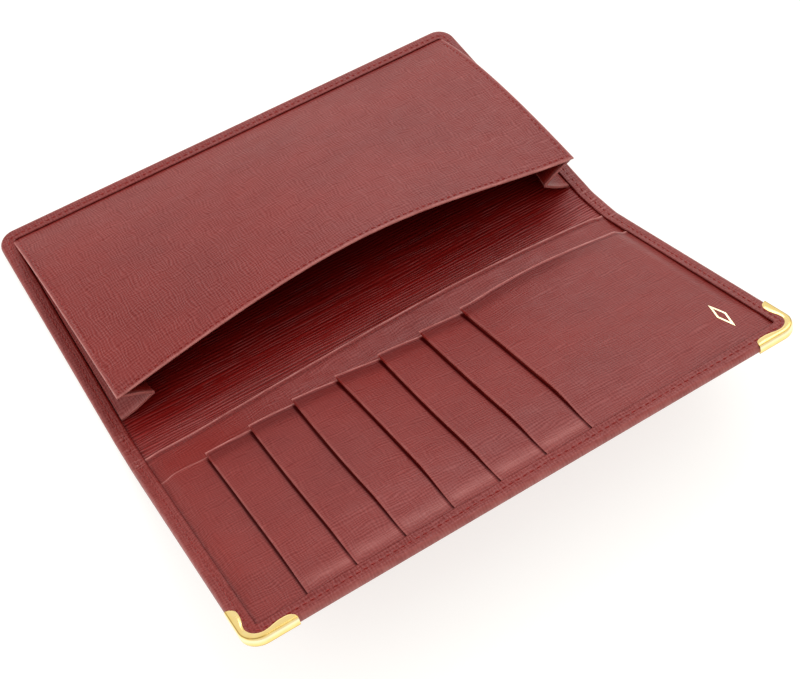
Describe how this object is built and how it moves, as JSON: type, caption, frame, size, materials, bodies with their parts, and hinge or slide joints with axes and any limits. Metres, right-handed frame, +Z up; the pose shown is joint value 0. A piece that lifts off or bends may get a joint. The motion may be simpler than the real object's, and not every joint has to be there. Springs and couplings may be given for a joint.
{
  "type": "long wallet",
  "caption": "Long bifold leather wallet, part open: a bellows pocket with folded gussets in one half, shingled card slots and brass corner protectors in the other.",
  "frame": {"origin": "centre of the far half's flat underside, which rests on the table", "axes": "+X along the spine, +Y from the spine towards the far half's outer edge, +Z up"},
  "size_m": [0.191, 0.199, 0.0448],
  "materials": {
    "burgundy_leather": "fine cross-grain, satin",
    "lining_leather": "ribbed grain, glossy",
    "thread": "waxed sewing thread",
    "stiffening_board": "plain",
    "backing_fabric": "fine plain weave",
    "polished_brass": "polished gold colour",
    "gold_foil": "hot-stamped foil"
  },
  "bodies": {
    "far_half": {"outer_cover_far": "burgundy_leather", "board_far": "stiffening_board", "pocket_lining": "lining_leather", "turned_border_far": "burgundy_leather", "border_stitching_far": "thread"},
    "spine": {"outer_cover_spine": "burgundy_leather", "spine_lining": "lining_leather", "turned_border_spine_left": "burgundy_leather", "turned_border_spine_right": "burgundy_leather", "border_stitching_spine_left": "thread", "border_stitching_spine_right": "thread"},
    "near_half": {"outer_cover_near": "burgundy_leather", "board_near": "stiffening_board", "near_lining": "backing_fabric", "slip_pocket_panel": "burgundy_leather", "slip_pocket_stitching": "thread", "card_backing": "backing_fabric", "card_base_panel": "burgundy_leather", "card_slot_1": "burgundy_leather", "card_slot_2": "burgundy_leather", "card_slot_3": "burgundy_leather", "card_slot_4": "burgundy_leather", "card_slot_5": "burgundy_leather", "card_slot_6": "burgundy_leather", "card_slot_7": "burgundy_leather", "turned_border_near": "burgundy_leather", "border_stitching_near": "thread", "corner_protector_left": "polished_brass", "corner_protector_right": "polished_brass", "foil_ornament": "gold_foil"},
    "pocket_front": {"pocket_front_panel": "burgundy_leather", "pocket_front_lining": "lining_leather", "pocket_front_stitching": "thread"},
    "gusset_lower_left_face": {"gusset_lower_left": "burgundy_leather"},
    "gusset_lower_right_face": {"gusset_lower_right": "burgundy_leather"},
    "gusset_upper_left_face": {"gusset_upper_left": "burgundy_leather"},
    "gusset_upper_right_face": {"gusset_upper_right": "burgundy_leather"}
  },
  "joints": [
    {"name": "spine_fold_far", "type": "hinge", "parent": "far_half", "child": "spine", "pos_m": [0, -0.048, 0.00045], "axis": [-1, 0, 0], "range_deg": [-11.85, 78.15]},
    {"name": "spine_fold_near", "type": "hinge", "parent": "spine", "child": "near_half", "pos_m": [0, -0.0666, 0.00435], "axis": [-1, 0, 0], "range_deg": [-11.85, 78.15]},
    {"name": "pocket_front_hinge", "type": "hinge", "parent": "far_half", "child": "pocket_front", "pos_m": [0, 0.0424, 0.0034], "axis": [1, 0, 0], "range_deg": [-1.3, 8.2]},
    {"name": "gusset_lower_left_fold", "type": "hinge", "parent": "far_half", "child": "gusset_lower_left_face", "pos_m": [-0.0892, 0.0424, 0.0022], "axis": [0, 1, 0], "range_deg": [-4.6, 30.1]},
    {"name": "gusset_upper_left_fold", "type": "hinge", "parent": "pocket_front", "child": "gusset_upper_left_face", "pos_m": [-0.0882, 0.04238, 0.00328], "axis": [0, -0.9867, 0.1625], "range_deg": [-4.6, 30.1]},
    {"name": "gusset_lower_right_fold", "type": "hinge", "parent": "far_half", "child": "gusset_lower_right_face", "pos_m": [0.0892, 0.0424, 0.0022], "axis": [0, -1, 0], "range_deg": [-4.6, 30.1]},
    {"name": "gusset_upper_right_fold", "type": "hinge", "parent": "pocket_front", "child": "gusset_upper_right_face", "pos_m": [0.0882, 0.04238, 0.00328], "axis": [0, 0.9867, -0.1625], "range_deg": [-4.6, 30.1]}
  ],
  "couplings": [
    {"joint": "spine_fold_near", "follows": "spine_fold_far", "ratio": 1},
    {"joint": "pocket_front_hinge", "follows": "spine_fold_far", "ratio": 0.1043},
    {"joint": "gusset_lower_left_fold", "follows": "spine_fold_far", "ratio": 0.384},
    {"joint": "gusset_upper_left_fold", "follows": "spine_fold_far", "ratio": 0.384},
    {"joint": "gusset_lower_right_fold", "follows": "spine_fold_far", "ratio": 0.384},
    {"joint": "gusset_upper_right_fold", "follows": "spine_fold_far", "ratio": 0.384}
  ]
}
